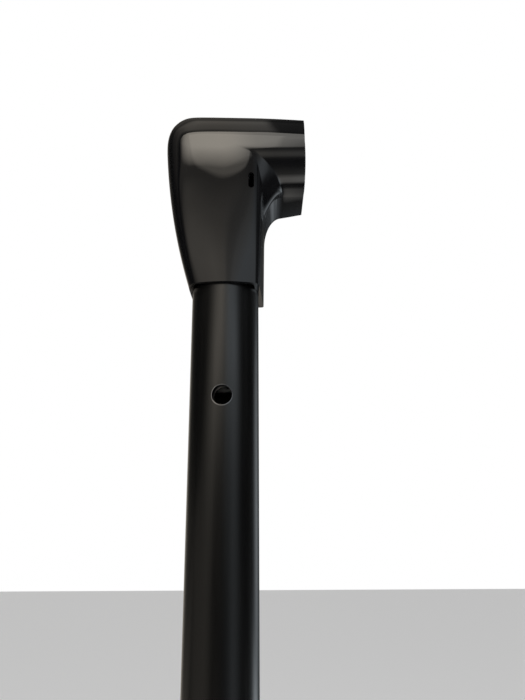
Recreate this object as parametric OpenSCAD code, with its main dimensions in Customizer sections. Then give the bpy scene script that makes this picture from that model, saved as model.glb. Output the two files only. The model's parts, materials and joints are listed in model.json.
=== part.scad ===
// Swing-down telescoping door security bar.
// A wall plate carries a pivot axle. The bar hangs from it, swings up across the door, and its
// latch head snaps on a second, identical plate on the other side.
// Origin: the pivot axis on the wall's face. +X points into the wall, +Z up, -Y is the room side front.

/* [Bar] */
// Distance between the pivot axis and the keeper axis with the bar pushed together
anchor_span = 750; // [600:10:900]
// Distance from the wall's face to the tube's axis
standoff = 39.8; // [36:0.2:48]
// Outside diameter of the outer tube
tube_od = 32; // [28:0.5:40]
// Wall of the outer tube
tube_wall = 1.5; // [1.2:0.1:2]
// Radial gap between the outer and the inner tube
tube_gap = 0.5; // [0.3:0.1:0.8]
// Wall of the inner tube
inner_wall = 1.5; // [1.2:0.1:2]

/* [Holes] */
// Diameter of the index holes
hole_d = 9; // [8:0.5:10]
// Step between two index holes
hole_step = 25; // [20:1:30]
// From the head's collar down to the outer tube's upper hole
head_hole_drop = 52.4; // [50:0.2:60]
// How far the inner tube's row lies below the upper hole
row_stagger = 0.9; // [0:0.1:1.5]
// How far the inner tube's row is turned towards the wall
row_turn = 4; // [0:0.5:4]

/* [Head] */
// Height of the head from its collar to the pivot axis
pivot_rise = 71.2; // [66:0.1:86]
// How far the head's faces stand out in front of the tube
head_wrap = 2; // [1.5:0.1:4]
// Thickness of the moulded walls
shell_wall = 2.4; // [2:0.1:2.8]
// Height of the stub where it meets the wall
stub_height = 37.7; // [31.4:0.1:43]
// How far the parting line's end lies above the stub's lower edge
parting_rise = 1.5; // [1:0.1:2]
// Gap between the head's end and the wall's face
end_gap = 0.5; // [0.3:0.1:1]

/* [Pivot] */
// Diameter of the pivot axle and of the keeper's stud
axle_d = 10; // [8:0.5:11]
// Distance from the tube's axis to the axle's end
axle_tip_u = 6.8; // [6:0.2:8]
// Distance from the tube's axis to the axle's groove
groove_u = 12.8; // [12:0.2:14]
// Gap between the wall plate's rim and the stub's wall
plate_gap = 0.75; // [0.5:0.05:1.5]
// Thickness of the wall plate
plate_t = 5; // [4:0.5:5.5]
// Distance from a wall screw's axis to the plate's rim
screw_edge = 4.7; // [4.5:0.1:5.5]
// Diameter of the wall screw holes
screw_hole_d = 4.4; // [3.5:0.1:5]

/* [Lock] */
// Diameter of the index plunger's nose
nose_d = 6.4; // [5:0.1:6.6]
// How far the plunger is pulled
plunger_travel = 6; // [5:0.5:6.5]
// Diameter of the pull knob
knob_d = 21; // [18:0.5:24]

/* [Latch] */
// How far the release button is pressed
latch_travel = 2.2; // [1.5:0.1:2.2]
// Gap between the keeper's stud and the socket
socket_gap = 0.25; // [0.15:0.05:0.4]

/* [Hidden] */
$fn = 64;

// Clearances
run_gap = 0.05;     // shaft in a bush
slip_gap = 0.15;    // pieces that are pushed together
free_gap = 0.3;     // pieces of different bodies side by side
cut = 1;            // how far a cutting solid runs past a face

// Radii and places along the bar
socket_depth = 26;                       // how far a tube runs up into a head
spigot_depth = 22;                       // how far a core's spigot runs past the collar
tube_tail = 45;                          // outer tube below the plunger's hole
tube_lead = 17;                          // inner tube above its first hole
collar_space = 15;                       // end collar and the space below it, with the bar pushed together
fixed_span = 2 * pivot_rise + head_hole_drop + row_stagger + tube_tail + socket_depth + collar_space;
row_gaps = floor((anchor_span - fixed_span) / hole_step);
extension = row_gaps * hole_step;
tube_r = tube_od / 2;
tube_bore = tube_r - tube_wall;
inner_r = tube_bore - tube_gap;
inner_bore = inner_r - inner_wall;
collar_z = -pivot_rise;
upper_hole_z = collar_z - head_hole_drop;
row_top_z = upper_hole_z - row_stagger;
lock_z = row_top_z - extension;          // the plunger's hole, the lowest of the row at rest
tube_bottom_z = lock_z - tube_tail;
inner_top_z = row_top_z + tube_lead;
latch_z = -anchor_span;
inner_bottom_z = latch_z + pivot_rise - socket_depth;
sleeve_top_z = latch_z + pivot_rise + socket_depth;

// Pieces of a head
head_half_depth = tube_r + head_wrap;
plate_d = stub_height - 2 * (parting_rise + shell_wall + plate_gap);
screw_pitch = plate_d - 2 * screw_edge;
axle_reach = standoff - axle_tip_u;
groove_x = standoff - groove_u;
core_r = stub_height / 2 - parting_rise - shell_wall - 2.45;        // barrel round the axle
core_end_x = plate_t + 1.5;              // distance from the wall's face to the core's end
bush_wall = 2;
bush_end_x = groove_x - 3;
flange_r = axle_d / 2 + bush_wall + 2;
flange_t = 1.5;
groove_w = 2;
groove_r = axle_d / 2 - 2;
clip_t = 1.4;
pin_d = 5;
pin_rise = 12;      // cross pin above the collar
screw_places = [                         // [u, w] of the shell screws
    [-tube_r - 6.3, pivot_rise - 7.6], [-tube_r - 2.8, 38], [tube_r - 4.2, 32],
    [2 - tube_r, pivot_rise + stub_height / 2 - 5.5]
];
boss_r = 3.6;
screw_head_r = 2.8;
screw_r = 1.5;

// Lock, as distances in front of the tube's axis
nose_tip = inner_bore - 1;
shoulder_y = tube_r + 1.5;
shoulder_t = 2.5;
shoulder_r = 6;
stem_r = 3;
lock_bore_r = shoulder_r + run_gap;
spring_room = 6;          // left for the closed coil when the plunger is pulled
cap_y = shoulder_y + shoulder_t + plunger_travel + spring_room;
cap_t = 3;
boss_outer_r = 9.5;
knob_y = cap_y + cap_t + free_gap;
knob_t = 11;
clamp_r = tube_r + 3.5;
clamp_h = 34;
ear_x = tube_r + 7.5;
ear_pitch = 20;

// ---------- Outline of a head ----------
// u runs from the tube's axis to the wall, w up from the collar. Depth d is 0 on the parting plane.
end_u = standoff - end_gap;
top_w = pivot_rise + stub_height / 2;      // top edge at the end
heel_w = pivot_rise - stub_height / 2;     // lower edge at the end
crown_w = top_w + 2.6;                     // highest line of the crowned top
corner_u = 12;                             // width of the upper left corner
corner_w = 16;                             // height of the upper left corner
left_curve = [[-tube_r - 0.9, 0], [-tube_r - 8.6, 25], [-tube_r - 12.8, 50],
    [-tube_r - 14.4, crown_w - corner_w]];

function bezier(p, t) = pow(1 - t, 3) * p[0] + 3 * t * pow(1 - t, 2) * p[1]
    + 3 * t * t * (1 - t) * p[2] + t * t * t * p[3];
function crown(u) = let(run = u - left_curve[3].x - corner_u, all = end_u - left_curve[3].x - corner_u)
    crown_w - (crown_w - top_w) * pow(run / all, 2);

column_n = 7;
fan_n = 15;
stub_n = 3;
// Inner edge on three planes, as [u at the collar, u at the column's top, width and height of the
// fillet, w at the fillet's end, w at the wall]. It changes evenly from the parting plane to a face.
parting_w = heel_w + parting_rise;
parting_edge = [tube_r + 1.4, tube_r + 2.9, 10.1, 17.2, parting_w - 0.2, parting_w];
front_edge = [tube_r + 0.3, tube_r + 2.2, 10.1, 17.2, parting_w - 0.2, parting_w];
rear_edge = [tube_r + 2.7, tube_r + 3.1, 9.4, 18.3, heel_w - 1.8, heel_w + 0.4];

// Roundings as [width, depth]: the column's edge by station, and the stub's lower edge
front_column_round = [[0, [1.6, 3.5]], [column_n, [4, 4]]];
front_stub_round = [15, 15];
rear_round = [1.4, 1.4];
function column_of(table, i) = [for (row = table) [row[0], row[1][i]]];
function rounding(table, s) = [for (i = [0, 1]) lookup(s, column_of(table, i))];
function shrink(r, t) = [max(0.6, r[0] - t), max(0.6, r[1] - t)];
// How far a rounding r of a half with this depth has moved in at depth d
function moved_in(r, d, depth) = let(x = max(0, (d - depth) / r[1] + 1)) r[0] * (1 - sqrt(max(0, 1 - x * x)));

// Point of the inner edge at a station and a depth, moved inwards by inset
function inner_point(s, side, d, depth, inset) = let(
        part = d / depth,
        edge = parting_edge + ((side < 0 ? front_edge : rear_edge) - parting_edge) * part,
        column_round = side < 0 ? rounding(front_column_round, s) : rear_round,
        turn = inset + moved_in(shrink(column_round, inset), d, depth),
        lift = inset + moved_in(shrink(side < 0 ? front_stub_round : rear_round, inset), d, depth),
        // the front fillet runs out at the face, and turns from round to scooped
        scoop = side < 0 ? max(0.03, sqrt(1 - pow(part, 2.2))) : 1,
        flatness = side < 0 ? 1 + 0.7 * min(1, part / 0.4) : 1,
        flank_u = edge[1] - turn,
        fillet_u = min(edge[2], end_u - edge[1] - 2) * scoop + inset,
        fillet_w = edge[3] * scoop + inset,
        knee_u = flank_u + fillet_u, knee_w = edge[4] + lift, base_w = knee_w - fillet_w,
        foot_u = edge[0] - turn,
        column_t = s / column_n, fan_a = 90 * (s - column_n) / fan_n, stub_t = (s - column_n - fan_n) / stub_n
    ) s < column_n ? [foot_u + (flank_u - foot_u) * column_t, base_w * column_t]
    : s <= column_n + fan_n ?
        [flank_u + fillet_u * (1 - pow(max(0, cos(fan_a)), flatness)),
            base_w + fillet_w * pow(sin(fan_a), flatness)]
    : [knee_u + (end_u - knee_u) * stub_t, knee_w + (edge[5] - edge[4]) * stub_t];

left_n = column_n + 5;
corner_n = 5;
top_n = column_n + fan_n + stub_n - left_n - corner_n;
outer_line = concat(
    [for (k = [0 : left_n]) bezier(left_curve, k / left_n)],
    [for (k = [1 : corner_n]) let(a = 90 * k / corner_n)
        [left_curve[3].x + corner_u * (1 - cos(a)), left_curve[3].y + corner_w * sin(a)]],
    [for (k = [1 : top_n]) let(u0 = left_curve[3].x + corner_u, u = u0 + (end_u - u0) * k / top_n)
        [u, crown(u)]]
);
stations = len(outer_line);

// Rounding of the outer edge by station
front_outer = [[0, [4.5, 8]], [column_n, [7, 10]], [left_n, [10, 10]], [left_n + corner_n, [12, 7]],
    [stations, [11, 6]]];
rear_outer = [[0, [7, 7]], [stations, [6, 6]]];

// How far the front face falls back towards its sides, by w
front_sag = [[0, 3.4], [30, 1.4], [55, 0]];
function fall(u, w) = lookup(w, front_sag) * pow((u + 0.1 * w) / (tube_r + 1 + 0.14 * w), 2);

// One section of a half, from the inner parting edge over the face to the outer parting edge
levels = [0, 0.17, 0.34, 0.5, 0.65, 0.78, 0.87, 0.94, 0.98, 1];
arc_n = 5;
face_n = 4;
ring = len(levels) + face_n + arc_n + 1;
function station_points(s, side, outer_round, inset) = let(
        depth = head_half_depth - inset,
        inner = [for (part = levels) let(p = inner_point(s, side, part * depth, depth, inset))
            [p[0], part * depth, p[1]]],
        a = inner[len(inner) - 1],
        foot = inner_point(s, side, 0, depth, 0),
        b = outer_line[s],
        across = (foot - b) / norm(foot - b),
        r = shrink(rounding(outer_round, s), inset),
        arc = [for (k = [arc_n : -1 : 0]) let(q = b + across * (inset + r[0] * (1 - cos(90 * k / arc_n))))
            [q[0], depth - r[1] * (1 - sin(90 * k / arc_n)), q[1]]],
        last = b + across * inset
    ) [for (p = concat(
        inner,
        [for (k = [1 : face_n - 1]) a + (arc[0] - a) * k / face_n],
        arc,
        [[last[0], 0, last[1]]]
    )) [p[0], side * (p[1] - (side < 0 ? fall(p[0], p[2]) * p[1] / head_half_depth : 0)), p[2]]];

// One half of a head: a hollow elbow, open at the collar, at the stub's end and on the parting plane
module shell_skin(side, outer_round) {
    points = [for (s = [0 : stations - 1]) each concat(
        station_points(s, side, outer_round, 0), station_points(s, side, outer_round, shell_wall))];
    function at(s, j, layer) = (2 * s + layer) * ring + j;
    function quad(a, b, c, d) = side < 0 ? [[a, b, c], [a, c, d]] : [[a, c, b], [a, d, c]];
    last = stations - 1;
    faces = concat(
        [for (s = [0 : last - 1], j = [0 : ring - 2], t = [0, 1])
            quad(at(s, j, 0), at(s, j + 1, 0), at(s + 1, j + 1, 0), at(s + 1, j, 0))[t]],
        [for (s = [0 : last - 1], j = [0 : ring - 2], t = [0, 1])
            quad(at(s, j, 1), at(s + 1, j, 1), at(s + 1, j + 1, 1), at(s, j + 1, 1))[t]],
        [for (s = [0 : last - 1], t = [0, 1])
            quad(at(s, 0, 0), at(s + 1, 0, 0), at(s + 1, 0, 1), at(s, 0, 1))[t]],
        [for (s = [0 : last - 1], t = [0, 1])
            quad(at(s, ring - 1, 1), at(s + 1, ring - 1, 1), at(s + 1, ring - 1, 0), at(s, ring - 1, 0))[t]],
        [for (j = [0 : ring - 2], t = [0, 1])
            quad(at(0, j, 1), at(0, j + 1, 1), at(0, j + 1, 0), at(0, j, 0))[t]],
        [for (j = [0 : ring - 2], t = [0, 1])
            quad(at(last, j, 0), at(last, j + 1, 0), at(last, j + 1, 1), at(last, j, 1))[t]]
    );
    polyhedron(points, faces, convexity = 8);
}

// ---------- Helpers ----------
module rod_x(r, x0, x1) translate([x0, 0, 0]) rotate([0, 90, 0]) cylinder(r = r, h = x1 - x0);
module rod_y(r, y0, y1) translate([0, y0, 0]) rotate([-90, 0, 0]) cylinder(r = r, h = y1 - y0);
module rod_z(r, z0, z1) translate([0, 0, z0]) cylinder(r = r, h = z1 - z0);
module block(low, high) translate(low) cube(high - low);
module in_head() translate([-standoff, 0, collar_z]) children();
module in_latch() translate([-standoff, 0, latch_z + pivot_rise]) mirror([0, 0, 1]) children();
module on_bar(z = 0) translate([-standoff, 0, z]) children();
core_u = standoff - core_end_x;

// A coil spring of round wire along +Z
module coil(r, wire, length, turns) {
    sides = 6;
    steps = 14;
    rings = turns * steps;
    points = [for (k = [0 : rings], j = [0 : sides - 1]) let(
            a = 360 * k / steps, b = 360 * j / sides, q = r + wire * cos(b))
        [q * cos(a), q * sin(a), wire + (length - 2 * wire) * k / rings + wire * sin(b)]];
    faces = concat(
        [[for (j = [0 : sides - 1]) j]],
        [for (k = [0 : rings - 1], j = [0 : sides - 1], t = [0, 1]) let(
                a = k * sides + j, b = k * sides + (j + 1) % sides, c = b + sides, d = a + sides)
            t == 0 ? [a, c, b] : [a, d, c]],
        [[for (j = [sides - 1 : -1 : 0]) rings * sides + j]]
    );
    polyhedron(points, faces, convexity = 10);
}

// ---------- Wall plate and pivot ----------
module wall_plate() color("dimgray") difference() {
    rotate([0, -90, 0]) rotate_extrude()
        polygon([[0, 0], [plate_d / 2, 0], [plate_d / 2, plate_t - 1],
            [plate_d / 2 - 1, plate_t], [0, plate_t]]);
    rod_x(axle_d / 2 - 1, -plate_t - cut, cut);
    for (side = [-1, 1]) translate([0, 0, side * screw_pitch / 2]) {
        rod_x(screw_hole_d / 2, -plate_t - cut, cut);
        translate([-plate_t, 0, 0]) rotate([0, 90, 0])
            cylinder(r1 = screw_hole_d / 2 + 2, r2 = screw_hole_d / 2, h = 2);
    }
}

module pivot_axle() color("silver") rotate([0, -90, 0]) rotate_extrude() {
    r = axle_d / 2;
    polygon([
        [0, end_gap], [r - 1.05, end_gap], [r - 1.05, plate_t], [r, plate_t], [r, groove_x - groove_w / 2],
        [groove_r, groove_x - groove_w / 2], [groove_r, groove_x + groove_w / 2],
        [r, groove_x + groove_w / 2], [r, axle_reach - 1.5], [r - 1.5, axle_reach], [0, axle_reach]
    ]);
}

module thrust_washer() color("ivory") difference() {
    rod_x(flange_r, -core_end_x + run_gap, -plate_t - run_gap);
    rod_x(axle_d / 2 + slip_gap, -core_end_x - cut, 0);
}

// Flanged sleeve in a core, with its bore bore_gap larger in radius than the axle
module sleeve(bore_gap) difference() {
    union() {
        rod_x(axle_d / 2 + bush_wall, -bush_end_x, -core_end_x);
        rod_x(flange_r, -core_end_x - flange_t, -core_end_x);
    }
    rod_x(axle_d / 2 + bore_gap, -bush_end_x - cut, -core_end_x + cut);
}

module pivot_bush() color("goldenrod") sleeve(run_gap);

// Hairpin clip: two legs in the axle's groove, and a bridge behind the slot of the front shell
clip_low = pivot_rise - 22.6;
module retaining_clip() color("lightsteelblue")
in_head() translate([groove_u - clip_t / 2, 0, 0]) difference() {
    block([0, -8, clip_low], [clip_t, 8, pivot_rise + 7]);
    block([-cut, -groove_r - free_gap, clip_low + 4], [clip_t + cut, groove_r + free_gap, pivot_rise + 8]);
    for (side = [-1, 1]) translate([0, side * 8, pivot_rise + 7]) rod_x(2, -cut, clip_t + cut);
}

// ---------- Core of a head ----------
column_u = [-11, 8];
module core_body(spigot_r) difference() {
    union() {
        translate([0, 0, pivot_rise]) rod_x(core_r, -8, core_u);
        intersection() {
            rod_z(tube_bore - free_gap, socket_depth, pivot_rise);
            block([column_u[0], -tube_r, 0], [column_u[1], tube_r, pivot_rise]);
        }
        rod_z(tube_r - slip_gap, socket_depth, socket_depth + 3);
        rod_z(spigot_r, -spigot_depth, socket_depth);
    }
    translate([0, 0, pivot_rise]) {
        rod_x(axle_d / 2 + bush_wall + run_gap, standoff - bush_end_x, core_u + cut);
        rod_x(flange_r + run_gap, core_u - flange_t, core_u + cut);
        rod_x(axle_d / 2 + 1, axle_tip_u - 1.5, core_u);
    }
    rod_z(9, -spigot_depth - cut, socket_depth - 8);
    translate([0, 0, pin_rise]) rod_x(pin_d / 2 + run_gap, -tube_r, tube_r);
}

module head_core() color("gray") in_head() difference() {
    core_body(tube_bore - 0.1);
    block([groove_u - groove_w / 2, -8.3, clip_low], [groove_u + groove_w / 2, 8.3, pivot_rise + 7.3]);
}

// Slotted spring pin
module cross_pin() translate([0, 0, pin_rise]) difference() {
    rod_x(pin_d / 2, -tube_r + slip_gap, tube_r - slip_gap);
    rod_x(pin_d / 2 - 1, -tube_r, tube_r);
    block([-tube_r, -0.4, 0], [tube_r, 0.4, pin_d]);
}
module head_pin() color("silver") in_head() cross_pin();

// ---------- Shells ----------
slot_w = 2.7;
slot_h = 8.2;
slot_at = [groove_u, pivot_rise - 18.7];
// [u, lowest w] of the ribs that cradle the core
rib_places = [[9.8, pivot_rise - 11.6], [24, pivot_rise]];
rib_t = 2;

// A half shell with its screw bosses and ribs
module shell_half(side, outer_round) difference() {
    union() {
        shell_skin(side, outer_round);
        for (p = screw_places) translate([p[0], side > 0 ? 0.1 : 1 - head_half_depth, p[1]])
            rod_y(boss_r, 0, head_half_depth - 1.1);
        for (p = rib_places) block(
            [p[0] - rib_t / 2, side > 0 ? 8 : 1 - head_half_depth, p[1]],
            [p[0] + rib_t / 2, side > 0 ? head_half_depth - 1 : -8, pivot_rise + core_r - 0.5]);
    }
    rod_z(tube_r + slip_gap, -cut, socket_depth + 4);
    translate([0, 0, pivot_rise]) rod_x(core_r + slip_gap, 0, core_u);
}

module front_half() difference() {
    shell_half(-1, front_outer);
    for (p = screw_places) translate([p[0], 0, p[1]]) rod_y(screw_r - slip_gap, -11, cut);
    translate([slot_at[0], 0, slot_at[1]]) {
        block([-slot_w / 2, -head_half_depth - cut, -slot_h / 2 + slot_w / 2],
            [slot_w / 2, -head_half_depth + shell_wall + cut, slot_h / 2 - slot_w / 2]);
        for (end = [-1, 1]) translate([0, 0, end * (slot_h - slot_w) / 2])
            rod_y(slot_w / 2, -head_half_depth - cut, -head_half_depth + shell_wall + cut);
    }
}

module rear_half() difference() {
    shell_half(1, rear_outer);
    for (p = screw_places) translate([p[0], 0, p[1]]) {
        rod_y(screw_r + slip_gap, -cut, head_half_depth);
        rod_y(screw_head_r + slip_gap, head_half_depth - 5, head_half_depth + cut);
    }
}

module shell_screw_set() for (p = screw_places) translate([p[0], 0, p[1]]) difference() {
    union() {
        rod_y(screw_r - slip_gap, -10, head_half_depth - 5);
        rod_y(screw_head_r, head_half_depth - 5, head_half_depth - 2.6);
    }
    translate([0, head_half_depth - 4, 0]) rotate([-90, 0, 0]) cylinder(r = 1.2, h = 3, $fn = 6);
}

module head_front_shell() color("#101012") in_head() front_half();
module head_rear_shell() color("#141416") in_head() rear_half();
module head_screws() color("silver") in_head() shell_screw_set();

// ---------- Tubes ----------
module outer_tube() color("#1c1c1e") on_bar() difference() {
    rod_z(tube_r, tube_bottom_z, collar_z + socket_depth);
    rod_z(tube_bore, tube_bottom_z - cut, collar_z + socket_depth + cut);
    for (z = [upper_hole_z, lock_z]) translate([0, 0, z]) rod_y(hole_d / 2, -tube_r - cut, 0);
    translate([0, 0, collar_z + pin_rise]) rod_x(pin_d / 2 + run_gap, -tube_r - cut, tube_r + cut);
}

module inner_tube() color("#2a2a2c") on_bar() difference() {
    rod_z(inner_r, inner_bottom_z, inner_top_z);
    rod_z(inner_bore, inner_bottom_z - cut, inner_top_z + cut);
    rotate([0, 0, row_turn]) for (k = [0 : row_gaps])
        translate([0, 0, row_top_z - k * hole_step]) rod_y(hole_d / 2, -inner_r - cut, 0);
    translate([0, 0, latch_z + pivot_rise - pin_rise]) rod_x(pin_d / 2 + run_gap, -tube_r, tube_r);
}

module end_collar() color("#161617") on_bar(tube_bottom_z) rotate_extrude() polygon([
    [inner_r + 0.1, -5], [tube_r + 1.6, -5], [tube_r + 2.6, -4], [tube_r + 2.6, 10], [tube_r + 1.4, 14],
    [tube_r + run_gap, 14], [tube_r + run_gap, 0], [inner_r + 0.1, 0]
]);

module slide_shoe() color("ivory") on_bar(inner_top_z) rotate_extrude() polygon([
    [9, -10], [inner_bore - run_gap, -10], [inner_bore - run_gap, 0], [tube_bore - 0.1, 0],
    [tube_bore - 0.1, 3], [tube_bore - 1.1, 4], [9, 4]
]);

module reducer_sleeve() color("#1c1c1e") on_bar() difference() {
    rod_z(tube_r, inner_bottom_z, sleeve_top_z);
    rod_z(inner_r + 0.02, inner_bottom_z - cut, sleeve_top_z + cut);
    translate([0, 0, latch_z + pivot_rise - pin_rise])
        rod_x(pin_d / 2 + run_gap, -tube_r - cut, tube_r + cut);
}

// ---------- Length lock ----------
module in_lock() translate([-standoff, 0, lock_z]) children();
module clamp_half(side) difference() {
    union() {
        rod_z(clamp_r, -clamp_h / 2, clamp_h / 2);
        block([-ear_x - 4, -6.5, -clamp_h / 2], [ear_x + 4, 6.5, clamp_h / 2]);
    }
    rod_z(tube_r + run_gap, -clamp_h, clamp_h);
    block([-ear_x - 5, side > 0 ? -clamp_r - cut : -0.4, -clamp_h],
        [ear_x + 5, side > 0 ? 0.4 : clamp_r + cut, clamp_h]);
    for (x = [-ear_x, ear_x], z = [-ear_pitch / 2, ear_pitch / 2]) translate([x, 0, z]) {
        rod_y(screw_r + (side > 0 ? slip_gap : -slip_gap), -8, 8);
        rod_y(screw_head_r + slip_gap, 4, 8);
    }
}

module lock_housing() color("#161617") in_lock() difference() {
    union() {
        clamp_half(-1);
        difference() {
            rod_y(boss_outer_r, -cap_y, -tube_r);
            rod_z(tube_r + run_gap, -clamp_h, clamp_h);
        }
        rod_y(hole_d / 2 - 0.1, -tube_r - 0.5, -tube_bore - slip_gap);
    }
    rod_y(lock_bore_r, -cap_y - cut, -shoulder_y + 0.2);
    rod_y(nose_d / 2 + run_gap, -shoulder_y - cut, 0);
}

module lock_strap() color("#161617") in_lock() clamp_half(1);

module clamp_screws() color("silver") in_lock()
    for (x = [-ear_x, ear_x], z = [-ear_pitch / 2, ear_pitch / 2]) translate([x, 0, z]) difference() {
        union() {
            rod_y(screw_r - slip_gap, -6, 4);
            rod_y(screw_head_r, 4, 6.2);
        }
        translate([0, 5, 0]) rotate([-90, 0, 0]) cylinder(r = 1.2, h = 3, $fn = 6);
    }

module lock_cap() color("silver") in_lock() difference() {
    union() {
        rod_y(boss_outer_r, -cap_y - cap_t, -cap_y);
        rod_y(lock_bore_r - run_gap, -cap_y, -cap_y + 1.5);
    }
    rod_y(stem_r + run_gap, -cap_y - cap_t - cut, -cap_y + 2);
}

stem_end = knob_y + knob_t - 3;
module lock_plunger() color("silver") in_lock() rotate([90, 0, 0]) rotate_extrude() polygon([
    [0, nose_tip], [nose_d / 2 - 1, nose_tip], [nose_d / 2, nose_tip + 1], [nose_d / 2, shoulder_y],
    [shoulder_r, shoulder_y], [shoulder_r, shoulder_y + shoulder_t], [stem_r, shoulder_y + shoulder_t],
    [stem_r, stem_end], [screw_r, stem_end], [screw_r, stem_end - 9], [0, stem_end - 9]
]);

module lock_spring() color("lightsteelblue")
in_lock() translate([0, -shoulder_y - shoulder_t, 0]) rotate([90, 0, 0])
    coil((stem_r + shoulder_r) / 2, 0.45, cap_y - 1.5 - shoulder_y - shoulder_t, 5);

module lock_knob() color("#0e0e10") in_lock() difference() {
    rotate([90, 0, 0]) rotate_extrude() polygon([
        [stem_r, knob_y], [knob_d / 2 - 3.5, knob_y],
        [knob_d / 2 - 2.5, knob_y + 3.5], [knob_d / 2, knob_y + 5.5],
        [knob_d / 2, knob_y + knob_t - 2], [knob_d / 2 - 1.5, knob_y + knob_t - 0.4],
        [knob_d / 2 - 3, knob_y + knob_t], [screw_head_r + slip_gap, knob_y + knob_t],
        [screw_head_r + slip_gap, stem_end], [stem_r, stem_end]
    ]);
    for (a = [0 : 36 : 324]) rotate([0, a, 0]) translate([0, 0, knob_d / 2 + 1.6])
        rod_y(2.4, -knob_y - knob_t - cut, -knob_y - 4);
}

module knob_screw() color("silver") in_lock() difference() {
    union() {
        rod_y(screw_r, -stem_end, -stem_end + 8);
        rod_y(screw_head_r, -stem_end - 2.2, -stem_end);
    }
    translate([0, -stem_end - 1.2, 0]) rotate([90, 0, 0]) cylinder(r = 1.2, h = 3, $fn = 6);
}

// ---------- Latch head ----------
slider_t = 1.6;
slider_half = 8;
slider_low = pivot_rise - 21.6;
slider_high = crown(groove_u) - 1.5;
shelf_w = pivot_rise - 33.6;
shelf_t = 2.5;
window_r = axle_d / 2 + 0.4;
button_u = 12;
button_h = 15;
button_out = 3.4;
button_rim = 1;
button_rim_t = 1.4;
button_low = crown(groove_u + button_u / 2 + button_rim) - shell_wall - free_gap - button_rim_t;

module latch_core() color("gray") in_latch() difference() {
    union() {
        core_body(inner_bore - run_gap);
        block([column_u[1] - 1, -5, shelf_w], [groove_u + 2.7, 5, shelf_w + shelf_t]);
    }
    block([groove_u - slider_t / 2 - 0.15, -slider_half - 0.3, shelf_w + shelf_t],
        [groove_u + slider_t / 2 + 0.15, slider_half + 0.3, pivot_rise + core_r + cut]);
}

module latch_pin() color("silver") in_latch() cross_pin();
module latch_bush() color("goldenrod") translate([0, 0, latch_z]) sleeve(socket_gap);

// Sprung plate: the window's lower edge stands in the stud's groove until the button is pressed
module latch_slider() color("silver") in_latch() translate([groove_u - slider_t / 2, 0, 0]) difference() {
    union() {
        block([0, -slider_half, slider_low], [slider_t, slider_half, slider_high - 4]);
        block([0, -5, slider_high - 5], [slider_t, 5, slider_high]);
        block([0, -1.5, slider_low - 5], [slider_t, 1.5, slider_low]);
    }
    translate([0, 0, pivot_rise + latch_travel]) rod_x(window_r, -cut, slider_t + cut);
}

module latch_spring() color("lightsteelblue") in_latch() translate([groove_u, 0, shelf_w + shelf_t])
    coil(2.6, 0.4, slider_low - shelf_w - shelf_t, 5);

module release_button() color("#b02020") in_latch() translate([groove_u, 0, 0]) difference() {
    union() {
        block([-button_u / 2, -button_h / 2, button_low],
            [button_u / 2, button_h / 2, crown(groove_u) + button_out]);
        block([-button_u / 2 - button_rim, -button_h / 2 - button_rim, button_low],
            [button_u / 2 + button_rim, button_h / 2 + button_rim, button_low + button_rim_t]);
    }
    block([-slider_t / 2 - run_gap, -5 - run_gap, button_low - 2],
        [slider_t / 2 + run_gap, 5 + run_gap, slider_high + run_gap]);
}

module button_opening()
    block([groove_u - button_u / 2 - free_gap, -button_h / 2 - free_gap, pivot_rise + core_r],
    [groove_u + button_u / 2 + free_gap, button_h / 2 + free_gap, crown_w + 5]);

module latch_front_shell() color("#101012") in_latch() difference() {
    front_half();
    button_opening();
}
module latch_rear_shell() color("#141416") in_latch() difference() {
    rear_half();
    button_opening();
}
module latch_screws() color("silver") in_latch() shell_screw_set();

wall_plate();
pivot_axle();
thrust_washer();
pivot_bush();
retaining_clip();
head_core();
head_pin();
head_front_shell();
head_rear_shell();
head_screws();
outer_tube();
end_collar();
lock_housing();
lock_strap();
clamp_screws();
lock_cap();
lock_plunger();
lock_spring();
lock_knob();
knob_screw();
inner_tube();
slide_shoe();
reducer_sleeve();
latch_core();
latch_pin();
latch_bush();
latch_slider();
latch_spring();
release_button();
latch_front_shell();
latch_rear_shell();
latch_screws();
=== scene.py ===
import json
from functools import reduce
from math import cos, pi, radians, sin, sqrt

import bmesh
import bpy
from mathutils import Matrix, Vector


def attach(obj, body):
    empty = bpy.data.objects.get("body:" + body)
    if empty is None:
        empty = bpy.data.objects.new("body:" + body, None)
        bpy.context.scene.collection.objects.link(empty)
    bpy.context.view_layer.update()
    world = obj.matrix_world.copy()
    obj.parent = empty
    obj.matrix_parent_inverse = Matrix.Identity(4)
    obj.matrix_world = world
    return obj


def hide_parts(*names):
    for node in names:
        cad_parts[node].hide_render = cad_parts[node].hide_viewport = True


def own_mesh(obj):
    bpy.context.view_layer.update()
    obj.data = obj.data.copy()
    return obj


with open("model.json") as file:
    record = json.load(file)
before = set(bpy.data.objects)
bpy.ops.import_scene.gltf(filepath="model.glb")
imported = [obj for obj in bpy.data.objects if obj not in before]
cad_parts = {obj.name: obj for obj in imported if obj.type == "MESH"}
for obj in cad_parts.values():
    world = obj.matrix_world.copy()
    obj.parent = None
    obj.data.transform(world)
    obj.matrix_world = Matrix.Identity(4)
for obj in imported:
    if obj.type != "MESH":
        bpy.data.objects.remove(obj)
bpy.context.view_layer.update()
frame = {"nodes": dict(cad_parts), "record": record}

MM = 0.001

# ---------- Sizes of the bar, in millimetres ----------
STANDOFF = 39.8            # wall face to tube axis
RISE = 71.2                # collar to pivot axis
STUB = 37.7                # height of the stub at the wall
HALF = 18.0                # half depth of a head
WALL = 2.4                 # moulded wall
LATCH_Z = -750.0           # keeper axis
COLLAR_Z = -RISE
END_U = STANDOFF - 0.5     # the stub's open end, just clear of the wall
TOP_W = RISE + STUB / 2

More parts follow.
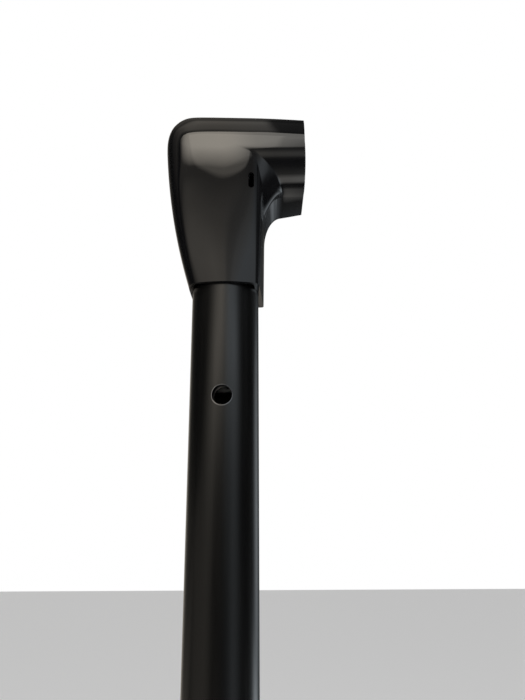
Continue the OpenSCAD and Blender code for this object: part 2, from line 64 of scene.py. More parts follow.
TUBE_R, TUBE_BORE = 16.0, 14.5     # outer tube
INNER_R, INNER_BORE = 14.0, 12.5   # inner tube
TUBE_GAP = 0.15            # between the outer tube and the collar of a head
IN_COLLAR = 26             # how far a tube stands in the collar of its head
HOLE_R = 4.5
HOLE_STEP = 25
HOLE_N = 19                # holes in the inner tube's row
UPPER_Z = COLLAR_Z - 52.4  # the outer tube's upper hole
ROW_Z = UPPER_Z - 0.9      # first hole of the inner tube's row
LOCK_Z = ROW_Z - HOLE_STEP * (HOLE_N - 1)  # the outer tube's lower hole, where the plunger stands
OUTER_TAIL = 45            # outer tube below that hole
INNER_TAIL = 17            # inner tube above its first hole
INNER_TURN = 4             # degrees, within the plunger's play in the hole
RIM_GLINT_OFF = (-0.07, -0.1)   # middle of the painted rim highlight (a bare-steel ring), off the middle of its hole


# ---------- Materials ----------
MID_LOW, MID_HIGH = 0.3, 0.7   # between these lies nearly all of a noise


def shader(name, color, roughness, metallic=0.0):
    """A new Principled material, its node tree and its shader node."""
    made = bpy.data.materials.new(name)
    made.use_nodes = True
    tree = made.node_tree
    base = tree.nodes["Principled BSDF"]
    base.inputs["Base Color"].default_value = (*color, 1)
    base.inputs["Roughness"].default_value = roughness
    base.inputs["Metallic"].default_value = metallic
    return made, tree, base


def add(tree, kind, **values):
    """A new node; each value sets the input of that name or else the setting of that name."""
    node = tree.nodes.new(kind)
    for key, value in values.items():
        if key in node.inputs:
            node.inputs[key].default_value = value
        else:
            setattr(node, key, value)
    return node


def grain(tree, scale, detail, stretch=(1, 1, 1)):
    """Noise on object coordinates; scale counts waves in a metre, stretch squeezes them by axis."""
    place = add(tree, "ShaderNodeTexCoord")
    squeeze = add(tree, "ShaderNodeMapping", Scale=stretch)
    noise = add(tree, "ShaderNodeTexNoise", Scale=scale, Detail=detail, Roughness=0.5)
    tree.links.new(place.outputs["Object"], squeeze.inputs["Vector"])
    tree.links.new(squeeze.outputs["Vector"], noise.inputs["Vector"])
    return noise.outputs["Fac"]


def spread(tree, source, low, high, from_low=MID_LOW, from_high=MID_HIGH):
    """The source, mapped from its own range to low...high and held at the ends."""
    ranged = add(tree, "ShaderNodeMapRange")
    tree.links.new(source, ranged.inputs["Value"])
    ranged.inputs["From Min"].default_value = from_low
    ranged.inputs["From Max"].default_value = from_high
    ranged.inputs["To Min"].default_value = low
    ranged.inputs["To Max"].default_value = high
    return ranged.outputs["Result"]


def tint(tree, source, first, last, low=MID_LOW, high=MID_HIGH):
    """A colour between two, chosen by the source."""
    ramp = add(tree, "ShaderNodeValToRGB")
    for stop, at, color in zip(ramp.color_ramp.elements, (low, high), (first, last)):
        stop.position = at
        stop.color = (*color, 1)
    tree.links.new(source, ramp.inputs["Fac"])
    return ramp.outputs["Color"]


def relief(tree, base, source, height, strength):
    """A bump that stands up by a height in metres."""
    bump = add(tree, "ShaderNodeBump", Strength=strength, Distance=height)
    tree.links.new(source, bump.inputs["Height"])
    tree.links.new(bump.outputs["Normal"], base.inputs["Normal"])


def calc(tree, operation, *values):
    """A sum on values that are numbers or sockets of other nodes."""
    node = add(tree, "ShaderNodeMath", operation=operation)
    for socket, value in zip(node.inputs, values):
        if isinstance(value, (int, float)):
            socket.default_value = value
        else:
            tree.links.new(value, socket)
    return node.outputs[0]


def gloss_moulding():
    """Polished black moulding with faint waviness and rub haze."""
    made, tree, base = shader("gloss_moulding", (0.0045, 0.0045, 0.005), 0.05)
    base.inputs["IOR"].default_value = 1.5
    haze = grain(tree, 60, 4)
    tree.links.new(spread(tree, haze, 0.012, 0.035), base.inputs["Roughness"])
    black = tint(tree, haze, (0.004, 0.004, 0.0045), (0.0055, 0.0055, 0.006))
    tree.links.new(black, base.inputs["Base Color"])
    relief(tree, base, grain(tree, 60, 1), 0.00003, 0.5)
    return made


def painted_rim_glint(tree):
    """1 on the lower rims of the outer tube's two holes, where bare-steel grey is painted as the highlight
    of the rounded edge; 0 elsewhere.
    """
    place = add(tree, "ShaderNodeTexCoord")
    split = add(tree, "ShaderNodeSeparateXYZ")
    tree.links.new(place.outputs["Object"], split.inputs[0])
    flat = add(tree, "ShaderNodeCombineXYZ")
    tree.links.new(split.outputs["X"], flat.inputs["X"])
    tree.links.new(split.outputs["Z"], flat.inputs["Z"])
    in_front = spread(tree, split.outputs["Y"], 1, 0, (0.5 - TUBE_R) * MM, (1 - TUBE_R) * MM)
    rings = []
    for hole_z in (UPPER_Z, LOCK_Z):
        reach = add(tree, "ShaderNodeVectorMath", operation="DISTANCE")
        tree.links.new(flat.outputs[0], reach.inputs[0])
        middle = Vector((RIM_GLINT_OFF[0] - STANDOFF, 0, hole_z + RIM_GLINT_OFF[1])) * MM
        reach.inputs[1].default_value = middle
        near = spread(tree, reach.outputs["Value"], 1, 0, (HOLE_R + 0.1) * MM, (HOLE_R + 0.2) * MM)
        rings.append(calc(tree, "MULTIPLY", near, in_front))
    return calc(tree, "MAXIMUM", *rings)


def powder_coat():
    """Satin black powder coat on steel tube: fine orange peel, soft lengthwise rub marks."""
    made, tree, base = shader("powder_coat", (0.003, 0.003, 0.003), 0.3)
    base.inputs["IOR"].default_value = 1.75
    peel = grain(tree, 1500, 2)
    rub = grain(tree, 220, 4, (1, 1, 0.06))
    tree.links.new(spread(tree, rub, 0.19, 0.27), base.inputs["Roughness"])
    coat = tint(tree, rub, (0.002, 0.002, 0.0022), (0.0035, 0.0034, 0.0032))
    # Painted highlight: a fully metallic bare-steel grey ring on the holes' lower rims, where the rounded
    # edge catches the light
    rim_glint = painted_rim_glint(tree)
    glint_colour = add(tree, "ShaderNodeMixRGB", Color2=(0.5, 0.5, 0.51, 1))
    tree.links.new(rim_glint, glint_colour.inputs["Fac"])
    tree.links.new(coat, glint_colour.inputs["Color1"])
    tree.links.new(glint_colour.outputs["Color"], base.inputs["Base Color"])
    tree.links.new(rim_glint, base.inputs["Metallic"])
    relief(tree, base, peel, 0.00001, 0.5)
    return made


def fine_plastic(name, dark, light, roughness):
    """Spark-eroded matt moulding."""
    made, tree, base = shader(name, light, roughness)
    erosion = grain(tree, 2600, 2)
    wide = grain(tree, 70, 4)
    tree.links.new(spread(tree, wide, roughness - 0.06, roughness + 0.08), base.inputs["Roughness"])
    tree.links.new(tint(tree, wide, dark, light), base.inputs["Base Color"])
    relief(tree, base, erosion, 0.00003, 0.7)
    return made


def metal(name, dark, light, roughness, stretch=(1, 1, 1), scale=500, height=0.000004):
    """Metal with a machined, drawn or cast grain along the squeezed axis."""
    made, tree, base = shader(name, light, roughness, 1.0)
    marks = grain(tree, scale, 3, stretch)
    wide = grain(tree, 60, 4)
    tree.links.new(spread(tree, marks, roughness - 0.07, roughness + 0.1), base.inputs["Roughness"])
    tree.links.new(tint(tree, wide, dark, light), base.inputs["Base Color"])
    relief(tree, base, marks, height, 0.6)
    return made


FINISH = {
    "gloss_black": gloss_moulding(),
    "satin_black_tube": powder_coat(),
    "matte_black": fine_plastic("matt_moulding", (0.012, 0.012, 0.013), (0.02, 0.02, 0.021), 0.5),
    "knob_black": fine_plastic("knob_moulding", (0.012, 0.012, 0.013), (0.018, 0.018, 0.019), 0.42),
    "button_red": fine_plastic("button_moulding", (0.38, 0.02, 0.016), (0.47, 0.03, 0.024), 0.34),
    "acetal": fine_plastic("acetal_moulding", (0.74, 0.73, 0.68), (0.83, 0.82, 0.77), 0.36),
    "cast_zinc": metal("cast_zinc", (0.42, 0.43, 0.45), (0.52, 0.53, 0.55), 0.48,
                       scale=900, height=0.00002),
    "plate_steel": metal("zinc_plate", (0.5, 0.51, 0.52), (0.62, 0.63, 0.64), 0.3, (0.1, 1, 1)),
    "bright_steel": metal("turned_steel", (0.6, 0.61, 0.62), (0.72, 0.73, 0.74), 0.2, (12, 1, 1), 300),
    "screw_steel": metal("screw_steel", (0.42, 0.43, 0.44), (0.55, 0.56, 0.57), 0.28),
    "spring_steel": metal("spring_wire", (0.35, 0.36, 0.38), (0.48, 0.49, 0.51), 0.26),
    "bronze": metal("sintered_bronze", (0.5, 0.32, 0.15), (0.64, 0.43, 0.21), 0.42, scale=1400),
}

# ---------- Helpers that make, cut and finish pieces ----------
BODIES = frame["record"]["behaviour"]["bodies"]
BODY = {node: body for body, nodes in BODIES.items() for node in nodes}
SLOT = {part["node"]: part["material_slot"] for part in frame["record"]["subparts"]}


def piece_of(name, bm, material=None):
    """A new piece that takes its mesh from a bmesh."""
    mesh = bpy.data.meshes.new(name)
    bm.to_mesh(mesh)
    bm.free()
    made = bpy.data.objects.new(name, mesh)
    bpy.context.scene.collection.objects.link(made)
    if material:
        mesh.materials.append(material)
    return made


def applied(made):
    """The piece with its modifiers made part of its mesh."""
    bpy.context.view_layer.update()
    finished = made.evaluated_get(bpy.context.evaluated_depsgraph_get())
    mesh = bpy.data.meshes.new_from_object(finished)
    made.modifiers.clear()
    made.data = mesh
    return made


def broken_edges(made, width, angle):
    """Small rounds on every edge sharper than the angle, over a smooth surface."""
    made.data.shade_smooth()
    made.data.set_sharp_from_angle(angle=radians(angle))
    edge = made.modifiers.new("broken_edges", "BEVEL")
    edge.width = width * MM
    edge.segments = 2
    edge.limit_method = "ANGLE"
    edge.angle_limit = radians(angle)
    edge.harden_normals = True
    return made


def cut(made, cutters, operation="DIFFERENCE"):
    """The piece with the cutters taken away, or joined on with UNION; the cutters are used up."""
    for cutter in cutters:
        change = made.modifiers.new("cut", "BOOLEAN")
        change.operation = operation
        change.solver = "EXACT"
        change.object = cutter
    applied(made)
    for cutter in cutters:
        bpy.data.objects.remove(cutter)
    return made


def rod(radius, low, high, axis="Z", segments=48):
    """A round cutter or boss between two points on a line along Y or Z."""
    low, high = Vector(low) * MM, Vector(high) * MM
    turn = {"Y": Matrix.Rotation(-pi / 2, 4, "X"), "Z": Matrix.Identity(4)}
    bm = bmesh.new()
    bmesh.ops.create_cone(bm, cap_ends=True, segments=segments, radius1=radius * MM, radius2=radius * MM,
                          depth=(high - low).length,
                          matrix=Matrix.Translation((low + high) / 2) @ turn[axis])
    return piece_of("rod", bm)


def block(low, high, round_axis=None, radius=0):
    """A box cutter, with the edges along one axis rounded."""
    low, high = Vector(low) * MM, Vector(high) * MM
    bm = bmesh.new()
    bmesh.ops.create_cube(bm, size=1)
    bmesh.ops.scale(bm, vec=high - low, verts=bm.verts)
    bmesh.ops.translate(bm, vec=(high + low) / 2, verts=bm.verts)
    if round_axis is not None:
        along = [e for e in bm.edges if abs((e.verts[0].co - e.verts[1].co)[round_axis]) > 1e-6]
        bmesh.ops.bevel(bm, geom=along, offset=radius * MM, segments=6, profile=0.5,
                        affect="EDGES", material=-1)
    return piece_of("block", bm)


def shown(made, *nodes):
    """Finish, body and slot of a new piece, taken from the first node that it stands for."""
    made.data.materials.clear()
    made.data.materials.append(FINISH[SLOT[nodes[0]]])
    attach(made, BODY[nodes[0]])
    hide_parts(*nodes)
    return made


def softened(node):
    """A copy of a node with its seams welded, its flats joined and its edges broken."""
    bm = bmesh.new()
    bm.from_mesh(frame["nodes"][node].data)
    bmesh.ops.remove_doubles(bm, verts=bm.verts, dist=2e-6)
    bmesh.ops.dissolve_limit(bm, angle_limit=radians(0.6), verts=bm.verts, edges=bm.edges)
    made = piece_of(node + "_finished", bm)
    return shown(broken_edges(made, 0.25, 32), node)


# ---------- Moulded heads ----------
# u runs from the tube axis to the wall, w up from the collar, depth from the parting plane.
CROWN_W = TOP_W + 2.6          # top of the head above the column
CORNER_U, CORNER_W = 12, 16    # rounding between the left side and the top
LEFT = [Vector(p) for p in ((-16.9, 0), (-24.6, 25), (-28.8, 50), (-30.4, CROWN_W - CORNER_W))]
# Inner edge on three planes: u at the collar and at the column's top, width and height of the fillet,
# w at the fillet's end and at the wall
PARTING = (17.4, 18.9, 10.1, 17.2, 53.65, 53.85)
FRONT = (16.3, 18.2, 10.1, 17.2, 53.65, 53.85)
REAR = (18.7, 19.1, 9.4, 18.3, 50.55, 52.75)
COLUMN_N, FAN_N, STUB_N, LEFT_N, CORNER_N = 7, 15, 3, 12, 5
STATIONS = COLUMN_N + FAN_N + STUB_N + 1
TOP_N = STATIONS - 1 - LEFT_N - CORNER_N

# Roundings as width and depth; those that change along the head are tables that start with the station
COLUMN_ROUND = [(0, 1.6, 3.5), (COLUMN_N, 4, 4), (STATIONS, 4, 4)]
STUB_ROUND = (15, 15)
REAR_ROUND = (1.4, 1.4)
FRONT_OUTER = [(0, 4.5, 8), (7, 7.5, 10), (12, 11.5, 10), (13, 11, 9), (14, 10, 8.5), (15, 14, 8),
               (16, 17, 7.5), (17, 18, 7), (18, 17, 7), (20, 15.2, 7), (22, 13.4, 6.5), (STATIONS, 12.4, 6)]
REAR_OUTER = [(0, 7, 7), (STATIONS, 6, 6)]
# By w: how far the front face falls back at its sides. Its middle leans to the left as w grows, and its
# half width flares
FRONT_SAG = [(0, 3.4), (30, 1.4), (55, 0), (200, 0)]
FACE_LEAN, FACE_HALF, FACE_FLARE = 0.1, 17, 0.14
LEVELS = (0, 0.17, 0.34, 0.5, 0.65, 0.78, 0.87, 0.94, 0.98, 1)  # of the inner wall, as parts of its depth
ARC_N, FACE_N = 5, 4
RING = len(LEVELS) + FACE_N + ARC_N + 1


def along_table(table, s):
    """The values of a table at s, drawn evenly from row to row."""
    for (s0, *low), (s1, *high) in zip(table, table[1:]):
        if s <= s1:
            t = (s - s0) / (s1 - s0)
            return [a + (b - a) * t for a, b in zip(low, high)]
    return table[-1][1:]


def moved_in(r, depth):
    """How far a rounding has moved in at a depth."""
    x = max(0, (depth - HALF) / r[1] + 1)
    return r[0] * (1 - sqrt(max(0, 1 - x * x)))


def inner_point(s, side, part):
    """Inner edge of a half at a station and a part of its depth: column, fillet, stub's underside."""
    edge = [a + (b - a) * part for a, b in zip(PARTING, FRONT if side < 0 else REAR)]
    turn = moved_in(along_table(COLUMN_ROUND, s) if side < 0 else REAR_ROUND, part * HALF)
    lift = moved_in(STUB_ROUND if side < 0 else REAR_ROUND, part * HALF)
    # The front fillet runs out at the face, and turns from round to scooped
    scoop = max(0.03, sqrt(1 - part ** 2.2)) if side < 0 else 1
    fullness = 1 + 0.7 * min(1, part / 0.4) if side < 0 else 1
    flank_u = edge[1] - turn
    knee_w = edge[4] + lift
    fillet_u, fillet_w = edge[2] * scoop, edge[3] * scoop
    knee_u, base_w = flank_u + fillet_u, knee_w - fillet_w
    if s < COLUMN_N:
        t = s / COLUMN_N
        foot_u = edge[0] - turn
        return Vector((foot_u + (flank_u - foot_u) * t, base_w * t))
    if s <= COLUMN_N + FAN_N:
        a = pi / 2 * (s - COLUMN_N) / FAN_N
        return Vector((flank_u + fillet_u * (1 - max(0, cos(a)) ** fullness),
                       base_w + fillet_w * sin(a) ** fullness))
    t = (s - COLUMN_N - FAN_N) / STUB_N
    return Vector((knee_u + (END_U - knee_u) * t, knee_w + (edge[5] - edge[4]) * t))


def outer_line(s):
    """Outer edge of a head at a station: left side, corner, top."""
    if s <= LEFT_N:
        t = s / LEFT_N
        return (LEFT[0] * (1 - t) ** 3 + LEFT[1] * 3 * t * (1 - t) ** 2
                + LEFT[2] * 3 * t * t * (1 - t) + LEFT[3] * t ** 3)
    if s <= LEFT_N + CORNER_N:
        a = pi / 2 * (s - LEFT_N) / CORNER_N
        return Vector((LEFT[3].x + CORNER_U * (1 - cos(a)), LEFT[3].y + CORNER_W * sin(a)))
    t = (s - LEFT_N - CORNER_N) / TOP_N
    start = LEFT[3].x + CORNER_U
    return Vector((start + (END_U - start) * t, CROWN_W - (CROWN_W - TOP_W) * t * t))


def section_point(s, j, side, outer_table):
    """Point j of a half section, from the inner parting edge over the face to the outer parting edge."""
    b = outer_line(s)
    across = (inner_point(s, side, 0) - b).normalized()
    r = along_table(outer_table, s)

    def arc(k):
        a = pi / 2 * k / ARC_N
        return b + across * r[0] * (1 - cos(a)), HALF - r[1] * (1 - sin(a))

    if j < len(LEVELS):
        at, depth = inner_point(s, side, LEVELS[j]), LEVELS[j] * HALF
    elif j < len(LEVELS) + FACE_N - 1:
        start = inner_point(s, side, 1)
        at, depth = start + (arc(ARC_N)[0] - start) * (j - len(LEVELS) + 1) / FACE_N, HALF
    elif j < RING - 1:
        at, depth = arc(RING - 2 - j)
    else:
        at, depth = b, 0
    if side < 0:
        off_middle = (at.x + FACE_LEAN * at.y) / (FACE_HALF + FACE_FLARE * at.y)
        depth -= along_table(FRONT_SAG, at.y)[0] * off_middle ** 2 * depth / HALF
    return at.x, side * depth, at.y


def head_skin(name, side, outer_table):
    """Half of an elbow housing: a grid wrapped over the head's sections, smoothed and given its wall."""
    bm = bmesh.new()
    bmesh.ops.create_grid(bm, x_segments=STATIONS - 1, y_segments=RING - 1, size=1)
    for v in bm.verts:
        s = round((v.co.x + 1) / 2 * (STATIONS - 1))
        j = round((v.co.y + 1) / 2 * (RING - 1))
        v.co = section_point(s, j, side, outer_table)
    bm.normal_update()
    face = max(bm.faces, key=lambda f: f.calc_center_median().y * side)
    if face.normal.y * side < 0:
        bmesh.ops.reverse_faces(bm, faces=bm.faces)
    bmesh.ops.transform(bm, matrix=Matrix.Scale(MM, 4), verts=bm.verts)
    made = piece_of(name, bm)
    smooth = made.modifiers.new("smooth", "SUBSURF")
    smooth.levels = smooth.render_levels = 2
    smooth.boundary_smooth = "PRESERVE_CORNERS"
    wall = made.modifiers.new("wall", "SOLIDIFY")
    wall.thickness = WALL * MM
    wall.offset = -1
    wall.use_even_offset = True
    return applied(made)


def placed(made, place, mirrored):
    """The piece moved into place; a mirrored one has its faces turned to point outwards again."""
    made.data.transform(place)
    if mirrored:
        made.data.flip_normals()
    return made


IN_HEAD = Matrix.Translation(Vector((-STANDOFF, 0, COLLAR_Z)) * MM)
IN_LATCH = (Matrix.Translation(Vector((-STANDOFF, 0, LATCH_Z + RISE)) * MM)
            @ Matrix.Scale(-1, 4, (0, 0, 1)))
SCREWS = [(-22.3, RISE - 7.6), (-18.8, 38), (11.8, 32), (-14, TOP_W - 5.5)]
SCREW_BOSS_R, SCREW_SEAT_R = 3.6, 2.95
GROOVE_U = 12.8                # plane of the axle's groove, the release slot and the button
RELEASE_W = RISE - 18.7        # middle of the release slot
RELEASE_HALF = (1.35, 4.1)     # its half width and half height, with nearly half-round ends
BUTTON_HALF = (6.3, 7.8)       # half width and half depth of the button's opening in a latch head


def collar_bore():
    return rod(TUBE_R + TUBE_GAP, (0, 0, -2), (0, 0, 30), segments=128)


def front_half(name):
    made = head_skin(name, -1, FRONT_OUTER)
    wide, high = RELEASE_HALF
    slot = block((GROOVE_U - wide, -HALF - 2, RELEASE_W - high),
                 (GROOVE_U + wide, -HALF + 4, RELEASE_W + high), 1, wide - 0.05)
    return cut(made, [collar_bore(), slot])


def rear_half(name):
    made = head_skin(name, 1, REAR_OUTER)
    cut(made, [rod(SCREW_BOSS_R, (u, 9, w), (u, HALF - 1.1, w), "Y") for u, w in SCREWS], "UNION")
    seats = [rod(SCREW_SEAT_R, (u, 13, w), (u, HALF + 2, w), "Y") for u, w in SCREWS]
    return cut(made, [collar_bore()] + seats)


def button_opening():
    wide, deep = BUTTON_HALF
    return block((GROOVE_U - wide, -deep, RISE + 12.5), (GROOVE_U + wide, deep, CROWN_W + 5))


for half, maker in (("front", front_half), ("rear", rear_half)):
    head = placed(maker("pivot_head_" + half), IN_HEAD, False)
    shown(broken_edges(head, 0.3, 40), "head_" + half + "_shell")
    latch = cut(maker("latch_head_" + half), [button_opening()])
    placed(latch, IN_LATCH, True)
    shown(broken_edges(latch, 0.3, 40), "latch_" + half + "_shell")


# ---------- Tubes ----------
def tube(name, outside, bore, low, high, holes):
    """Round tube with drilled holes in its front; holes are (z, radius, turn in degrees)."""
    bm = bmesh.new()
    bmesh.ops.create_circle(bm, segments=192, radius=outside * MM,
                            matrix=Matrix.Translation((-STANDOFF * MM, 0, low * MM)))
    levels = sorted({low, high, *(z + d for z, r, a in holes for d in (-r - 3, r + 3))})
    edges = bm.edges[:]
    for step in (b - a for a, b in zip(levels, levels[1:])):
        grown = bmesh.ops.extrude_edge_only(bm, edges=edges)["geom"]
        risen = [g for g in grown if isinstance(g, bmesh.types.BMVert)]
        bmesh.ops.translate(bm, vec=(0, 0, step * MM), verts=risen)
        edges = [g for g in grown if isinstance(g, bmesh.types.BMEdge)]
    bmesh.ops.recalc_face_normals(bm, faces=bm.faces)
    made = piece_of(name, bm)
    wall = made.modifiers.new("wall", "SOLIDIFY")
    wall.thickness = (outside - bore) * MM
    wall.offset = -1
    applied(made)
    drills = []
    for z, radius, turn in holes:
        drill = rod(radius, (0, -outside - 5, 0), (0, -4, 0), "Y", 64)
        drill.data.transform(Matrix.Translation((-STANDOFF * MM, 0, z * MM))
                             @ Matrix.Rotation(radians(turn), 4, "Z"))
        drills.append(drill)
    return cut(made, drills)


outer = tube("bar_outer_tube", TUBE_R, TUBE_BORE, LOCK_Z - OUTER_TAIL, COLLAR_Z + IN_COLLAR,
             [(UPPER_Z, HOLE_R, 0), (LOCK_Z, HOLE_R, 0)])
shown(broken_edges(outer, 0.35, 40), "outer_tube")
inner = tube("bar_inner_tube", INNER_R, INNER_BORE, LATCH_Z + RISE - IN_COLLAR, ROW_Z + INNER_TAIL,
             [(ROW_Z - HOLE_STEP * k, HOLE_R, INNER_TURN) for k in range(HOLE_N)])
shown(broken_edges(inner, 0.3, 40), "inner_tube")

# ---------- All other pieces ----------
# The coils, listed by joint, direction, travel, and the end that stays put; their meshes are copied here
# but not shortened
COILS = {"lock_spring": ("plunger_pull", Vector((0, 1, 0)), 6, min),
         "latch_spring": ("latch_release", Vector((0, 0, 1)), 2.2, max)}
for node in frame["nodes"]:
    if not frame["nodes"][node].hide_render:
        made = softened(node)
        if node in COILS:
            joint, way, travel, held = COILS[node]
            along = [v.co.dot(way) for v in made.data.vertices]
            way * held(along)
            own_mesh(made)

# ---------- Floor, lamps and camera ----------
FLOOR_Z = -1.26          # clears the inner bar when it is pulled out
bm = bmesh.new()
bmesh.ops.create_grid(bm, x_segments=1, y_segments=1, size=8, matrix=Matrix.Translation((0, 0, FLOOR_Z)))
floor_paint, tree, base = shader("floor_paint", (0.92, 0.92, 0.92), 0.7)
base.inputs["Specular IOR Level"].default_value = 0.2
floor = piece_of("floor", bm, floor_paint)
floor.visible_glossy = False


def lamp(name, at, aim, size, radiance, color=(1, 1, 1)):
    """A lit panel that faces a point. Polished pieces don't mirror it; the studio below is for that."""
    data = bpy.data.lights.new(name, "AREA")
    data.shape = "RECTANGLE"
    data.size, data.size_y = size
    data.energy = radiance * pi * size[0] * size[1]
    data.color = color
    made = bpy.data.objects.new(name, data)
    made.location = at
    made.rotation_euler = (Vector(aim) - Vector(at)).to_track_quat("-Z", "Y").to_euler()
    made.visible_glossy = False
    bpy.context.scene.collection.objects.link(made)


HEAD = (-0.035, -0.018, 0)
lamp("panel", (0.1, -1.2, 0.90), HEAD, (1.1, 0.5), 3, (1, 0.98, 0.93))
lamp("right_strip", (0.95, -1.0, -0.2), (-0.04, 0, -0.3), (0.4, 1.6), 1.5, (0.85, 0.93, 1))
lamp("ceiling", (-0.2, 0.3, 1.6), HEAD, (1.6, 1.4), 0.8)
lamp("back_left", (-1.2, 1.3, 0.5), (-0.04, 0, -0.35), (0.5, 1.5), 1.4)

CAMERA_AT = (-0.02195, -0.2561, -0.1711)
TILT, ROLL = 15.7, -0.30           # degrees up from level, and about the line of sight
camera = bpy.data.objects.new("camera", bpy.data.cameras.new("camera"))
bpy.context.scene.collection.objects.link(camera)
camera.matrix_world = (Matrix.Translation(CAMERA_AT) @ Matrix.Rotation(radians(90 + TILT), 4, "X")
                       @ Matrix.Rotation(radians(ROLL), 4, "Z"))
camera.data.lens = 28.8
camera.data.sensor_width = 36
camera.data.clip_start = 0.01
bpy.context.scene.camera = camera
bpy.context.scene.view_settings.view_transform = "Standard"

# ---------- The studio that polished pieces mirror ----------
# Two values say where a mirrored ray goes. Pitch is 0 towards the room, 90 straight up and 180 towards the
# wall; side runs from -1 at the left to 1 at the right. Each table holds rows of (pitch, brightness) or
# (side, brightness), and a light's two tables are multiplied.
OVERHEAD = ((37.6, 0), (40, 0.06), (48, 0.9), (70, 1), (78, 0.8), (84, 0.3), (95, 0.2), (110, 0.08),
            (126, 0.1), (134, 0.35), (150, 0.3), (170, 0.05))
OVERHEAD_SIDES = ((-0.9, 0.03), (-0.75, 0.15), (-0.6, 0.3), (-0.45, 0.5), (-0.3, 0.65), (-0.15, 1),
                  (0.02, 0.9), (0.04, 0.12), (0.4, 0.05), (0.7, 0.15), (0.9, 0.06), (1, 0.02))
# The bank of lights in the room, and the card above it
BANK = ((-146, 0.25), (-128, 0.1), (-115, 0.8), (-103, 1.6), (-85, 2.3), (-70, 2.4), (-55, 0.5), (-25, 0.1),
        (-10, 0.02), (3, 0.07), (10, 0.28), (16, 0.8), (20, 1), (24, 1), (25.5, 0.88), (28, 0.63),
        (30, 0.49), (31.2, 0.37), (32.5, 0.28), (38, 0.28), (40, 0))
BANK_SIDES = ((-0.95, 0.03), (-0.85, 0.1), (-0.75, 0.26), (-0.62, 0.5), (-0.5, 0.85), (-0.2, 1.05),
              (-0.03, 0.9), (0.02, 0.64), (0.07, 0.64), (0.12, 0.82), (0.25, 0.88), (0.6, 0.8),
              (0.75, 0.35), (0.85, 0.06), (0.95, 0.02))
CARD_SIDES = ((-0.4, 0), (-0.3, 0.3), (-0.16, 0.95), (-0.07, 1.05), (-0.045, 1), (-0.01, 0.72), (0.1, 0.5),
              (0.2, 0))
CARD_FOOT, CARD_TOP = (33.6, 35.6), (39.2, 39.9)   # pitch over which its edges fade
CARD_GLOW = 4.4
# Degrees by which both are seen lower towards the sides, and those for the card's upper edge
SUNK = ((-0.75, 4.5), (-0.5, 4), (-0.35, 2.4), (-0.25, 1), (-0.15, 0.2), (-0.06, 0.1), (0, 0.5), (0.1, 1.2),
        (0.4, 1.2))
CARD_SUNK = ((-0.3, 0), (-0.2, 0.3), (-0.1, 1.5), (0, 3.5), (0.1, 3.5))
# A round lamp behind the card: side and pitch of its middle, its half sizes, and where the card hides it
DISC_AT, DISC_HALF = (-0.056, 39), (0.1, 6.4)
DISC_HIDDEN = (0.663, 0.67)    # in radians
DISC_GLOW = 0.9
FLOOR_SHEEN = ((-90, 0.3), (-40, 1), (0, 1), (12, 0.3), (20, 0))
FLOOR_SIDES = ((-1, 0.16), (-0.7, 0.2), (-0.52, 0.12), (-0.4, 0.03), (-0.3, 0.01), (0.2, 0.01), (0.4, 0.06),
               (0.6, 0.22), (0.75, 0.15), (0.88, 0.03), (1, 0.01))
# The wall behind the bar
BEHIND = ((-180, 0.6), (-160, 0.4), (-148, 1.6), (-122, 1.8), (-110, 0.3), (-90, 0.1), (100, 0.1),
          (140, 0.03), (151, 0.02), (157, 0.3), (166, 0.5), (180, 0.6))
BEHIND_SIDES = ((-1, 0.06), (-0.8, 0.08), (-0.68, 0.15), (-0.6, 0.5), (-0.45, 1.2), (-0.2, 1.2), (0, 0.8),
                (0.13, 0.06), (0.3, 0.15), (0.56, 0.3), (0.64, 1.6), (0.8, 1.2), (0.88, 0.4), (0.94, 0.02))
WARM, COOL = (1, 0.92, 0.8), (0.86, 0.94, 1)   # from left to right
PLAIN_GLOW = 0.6                # what rough surfaces get from every side

world = bpy.data.worlds.new("studio")
bpy.context.scene.world = world
world.use_nodes = True
tree = world.node_tree
tree.nodes.clear()


def product(*values):
    return reduce(lambda one, other: calc(tree, "MULTIPLY", one, other), values)


def total(*values):
    return reduce(lambda one, other: calc(tree, "ADD", one, other), values)


def graph(source, stops):
    """The value of a table at the source, both between 0 and 1, drawn evenly from row to row."""
    top = max(value for at, value in stops)
    ramp = add(tree, "ShaderNodeValToRGB")
    points = ramp.color_ramp.elements
    for k, (at, value) in enumerate(stops):
        point = points[k] if k < 2 else points.new(at)
        point.position = at
        point.color = (value / top, value / top, value / top, 1)
    tree.links.new(source, ramp.inputs["Fac"])
    return product(ramp.outputs["Color"], top)


def share(degrees):
    """A pitch as a share of the full turn that starts at -180."""
    return (degrees + 180) / 360


def by_pitch(stops, source=None):
    return graph(source or pitch, [(share(degrees), value) for degrees, value in stops])


def by_side(stops):
    return graph(side, [((x + 1) / 2, value) for x, value in stops])


def lowered(stops):
    """Pitch, with what is seen there lowered by a table of degrees by side."""
    return total(pitch, product(by_side(stops), -1 / 360))


rays = add(tree, "ShaderNodeLightPath")
way = add(tree, "ShaderNodeTexCoord")
split = add(tree, "ShaderNodeSeparateXYZ")
tree.links.new(way.outputs["Generated"], split.inputs[0])
x, y, z = split.outputs
angle = calc(tree, "ARCTAN2", z, product(y, -1))
pitch = total(product(angle, 1 / (2 * pi)), 0.5)
side = total(product(x, 0.5), 0.5)
in_front = spread(tree, y, 1, 0, -0.1, 0.1)

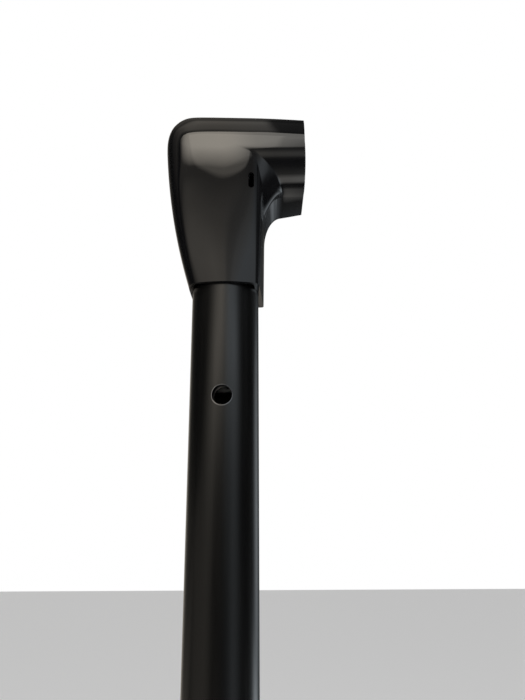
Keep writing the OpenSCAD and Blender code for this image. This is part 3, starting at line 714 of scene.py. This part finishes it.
overhead = product(by_pitch(OVERHEAD), by_side(OVERHEAD_SIDES))
floor_sheen = product(by_pitch(FLOOR_SHEEN), by_side(FLOOR_SIDES))
behind = product(by_pitch(BEHIND), by_side(BEHIND_SIDES))
sunk = lowered(SUNK)
bank = product(by_pitch(BANK, calc(tree, "SUBTRACT", product(pitch, 2), sunk)), by_side(BANK_SIDES))
card = product(spread(tree, sunk, 0, 1, *map(share, CARD_FOOT)),
               spread(tree, lowered(CARD_SUNK), 1, 0, *map(share, CARD_TOP)), by_side(CARD_SIDES))
off_side = product(total(x, -DISC_AT[0]), 1 / DISC_HALF[0])
off_pitch = product(total(product(angle, 180 / pi), -DISC_AT[1]), 1 / DISC_HALF[1])
from_disc = calc(tree, "SQRT", total(product(off_side, off_side), product(off_pitch, off_pitch)))
disc = product(spread(tree, from_disc, 1, 0, 0.93, 1.03), spread(tree, angle, 1, 0, *DISC_HIDDEN))
ahead = total(bank, product(card, CARD_GLOW), product(disc, DISC_GLOW))
room = total(overhead, floor_sheen, product(ahead, in_front),
             product(behind, calc(tree, "SUBTRACT", 1, in_front)))


def background(color, strength):
    made = add(tree, "ShaderNodeBackground")
    for socket, value in zip(made.inputs, (color, strength)):
        if isinstance(value, (tuple, float)):
            socket.default_value = value
        else:
            tree.links.new(value, socket)
    return made.outputs[0]


def chosen(choice, off, on):
    """One of two lights, by a value that is 0 or 1."""
    mixed = add(tree, "ShaderNodeMixShader")
    for socket, value in zip(mixed.inputs, (choice, off, on)):
        tree.links.new(value, socket)
    return mixed.outputs[0]


# The camera sees plain white, a mirrored ray sees the studio
seen = calc(tree, "MAXIMUM", rays.outputs["Is Camera Ray"], rays.outputs["Is Transmission Ray"])
studio = background(tint(tree, side, WARM, COOL, 0.47, 0.64), room)
lit = chosen(rays.outputs["Is Glossy Ray"], background((1, 1, 1, 1), PLAIN_GLOW), studio)
out = add(tree, "ShaderNodeOutputWorld")
tree.links.new(chosen(seen, lit, background((1, 1, 1, 1), 1.0)), out.inputs["Surface"])
